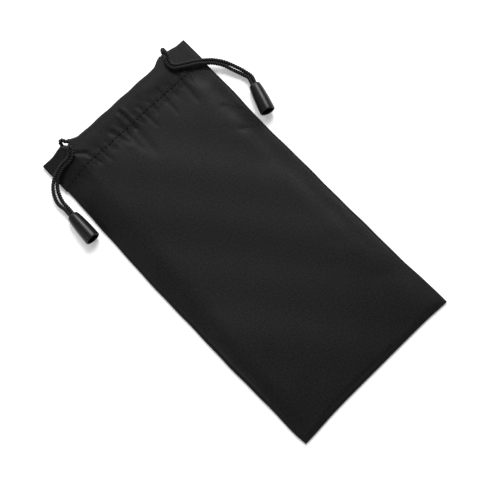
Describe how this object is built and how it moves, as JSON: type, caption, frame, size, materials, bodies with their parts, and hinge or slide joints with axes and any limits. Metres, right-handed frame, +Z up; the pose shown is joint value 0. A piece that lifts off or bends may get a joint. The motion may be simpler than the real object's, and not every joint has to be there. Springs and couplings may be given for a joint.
{
  "type": "soft pouch glasses case",
  "caption": "Flat soft cloth pouch for glasses with a folded hem at the mouth, twisted drawcords on both sides and bell-shaped plastic cord ends.",
  "frame": {"origin": "on the surface the pouch lies on, under the middle of the cloth pouch without its free cords", "axes": "+Y along the pouch's length towards its mouth, +X to its right seen from above with the mouth away, +Z up through its thickness"},
  "size_m": [0.1121, 0.1769, 0.0118],
  "materials": {
    "pouch_cloth": "black woven polyester microfibre, satin",
    "hem_cloth": "black woven polyester microfibre, folded double",
    "thread": "black polyester sewing thread",
    "twisted_cord": "black twisted polyester cord, slightly glossy",
    "cord_end_plastic": "black moulded plastic, satin gloss"
  },
  "bodies": {
    "pouch": {"back_panel": "pouch_cloth", "front_panel": "pouch_cloth", "left_side_seam": "hem_cloth", "right_side_seam": "hem_cloth", "bottom_seam": "hem_cloth", "seam_stitching": "thread", "back_hem": "hem_cloth", "front_hem": "hem_cloth", "back_hem_stitching": "thread", "front_hem_stitching": "thread", "left_cord_front_run": "twisted_cord", "left_cord_back_run": "twisted_cord", "right_cord_front_run": "twisted_cord", "right_cord_back_run": "twisted_cord"},
    "left_mouth": {"back_hem_left_end": "hem_cloth", "front_hem_left_end": "hem_cloth", "right_cord_return": "twisted_cord"},
    "right_mouth": {"back_hem_right_end": "hem_cloth", "front_hem_right_end": "hem_cloth", "left_cord_return": "twisted_cord"},
    "left_pull": {"left_cord_front_strand": "twisted_cord", "left_cord_back_strand": "twisted_cord", "left_cord_knot": "twisted_cord"},
    "right_pull": {"right_cord_front_strand": "twisted_cord", "right_cord_back_strand": "twisted_cord", "right_cord_knot": "twisted_cord"},
    "left_end": {"left_cord_end": "cord_end_plastic"},
    "right_end": {"right_cord_end": "cord_end_plastic"}
  },
  "joints": [
    {"name": "gather", "type": "slide", "parent": "pouch", "child": "left_mouth", "axis": [1, 0, 0], "range_m": [0, 0.015], "deforming": ["front_hem", "back_hem", "front_hem_stitching", "back_hem_stitching", "left_cord_front_run", "left_cord_back_run", "right_cord_front_run", "right_cord_back_run", "front_panel", "back_panel", "left_side_seam", "right_side_seam", "seam_stitching"]},
    {"name": "gather_right", "type": "slide", "parent": "pouch", "child": "right_mouth", "axis": [-1, 0, 0], "range_m": [0, 0.015]},
    {"name": "left_cord_pull", "type": "slide", "parent": "left_mouth", "child": "left_pull", "axis": [-1, 0, 0], "range_m": [0, 0.03], "deforming": ["left_cord_front_strand", "left_cord_back_strand"]},
    {"name": "right_cord_pull", "type": "slide", "parent": "right_mouth", "child": "right_pull", "axis": [1, 0, 0], "range_m": [0, 0.03], "deforming": ["right_cord_front_strand", "right_cord_back_strand"]},
    {"name": "left_end_slide", "type": "slide", "parent": "left_pull", "child": "left_end", "axis": [0.0451, 0.9958, -0.0791], "range_m": [0, 0.005]},
    {"name": "right_end_slide", "type": "slide", "parent": "right_pull", "child": "right_end", "axis": [0.3305, 0.9405, -0.0791], "range_m": [0, 0.005]}
  ],
  "couplings": [
    {"joint": "gather_right", "follows": "gather", "ratio": 1},
    {"joint": "left_cord_pull", "follows": "gather", "ratio": 2},
    {"joint": "right_cord_pull", "follows": "gather", "ratio": 2}
  ]
}
